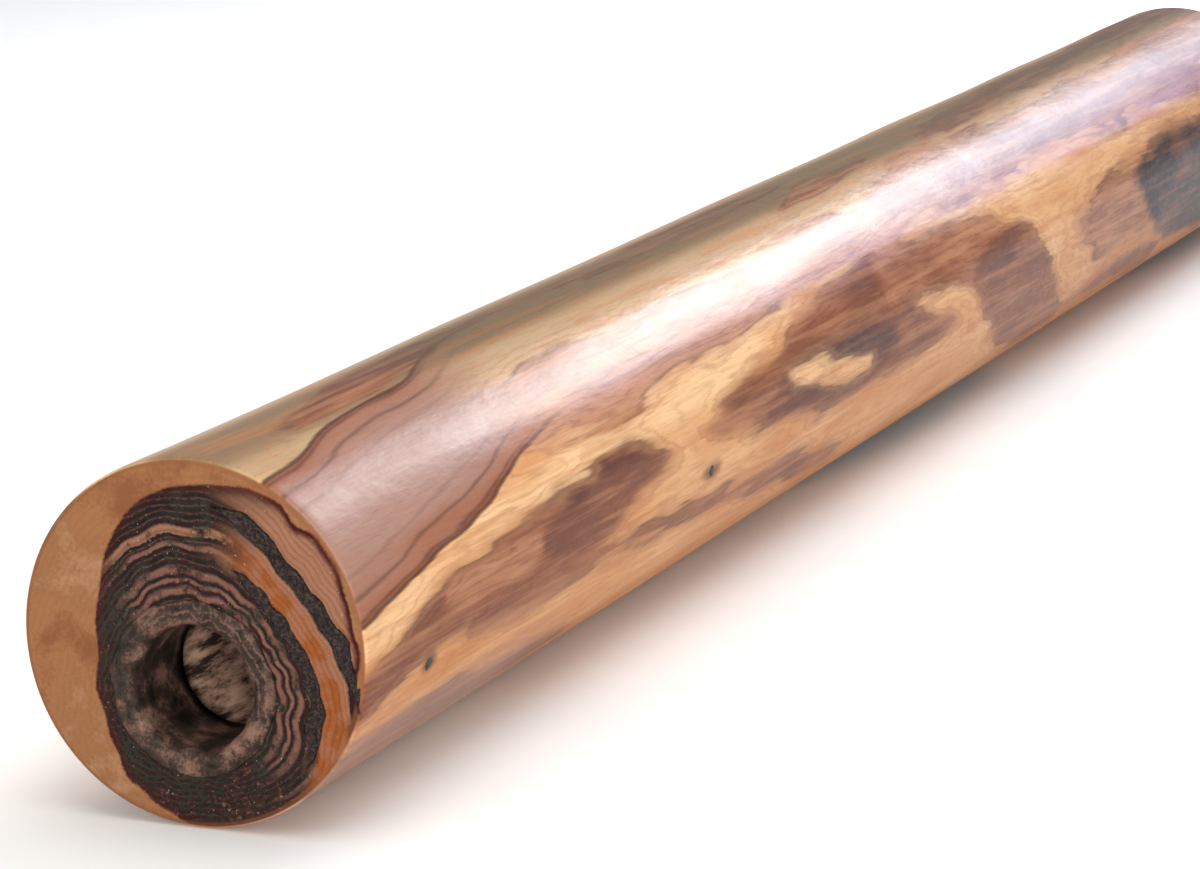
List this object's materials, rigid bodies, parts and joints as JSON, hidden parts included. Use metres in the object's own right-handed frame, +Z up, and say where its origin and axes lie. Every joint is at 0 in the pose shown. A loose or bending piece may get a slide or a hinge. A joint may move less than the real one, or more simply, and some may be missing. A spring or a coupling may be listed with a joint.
{
  "type": "didgeridoo",
  "caption": "Wind instrument made from one naturally hollow hardwood log, with a wax-lined blowing end and a flared bell end.",
  "frame": {"origin": "on the surface the log lies on, under the middle of its length", "axes": "+Y along the log from the blowing end to the bell end, +Z up, +X the right-hand side seen from the blowing end"},
  "size_m": [0.1036, 1.0317, 0.1038],
  "materials": {
    "hardwood": "clear gloss lacquer over figured hardwood",
    "beeswax": "dark worked beeswax, soft sheen",
    "black_resin": "black filled resin, sanded flush and lacquered"
  },
  "bodies": {
    "root": {"log": "hardwood", "wax_mouthpiece": "beeswax", "ring_fill_outer": "black_resin", "ring_fill_inner": "black_resin", "pin_plug_near": "black_resin", "pin_plug_middle": "black_resin"}
  },
  "joints": []
}
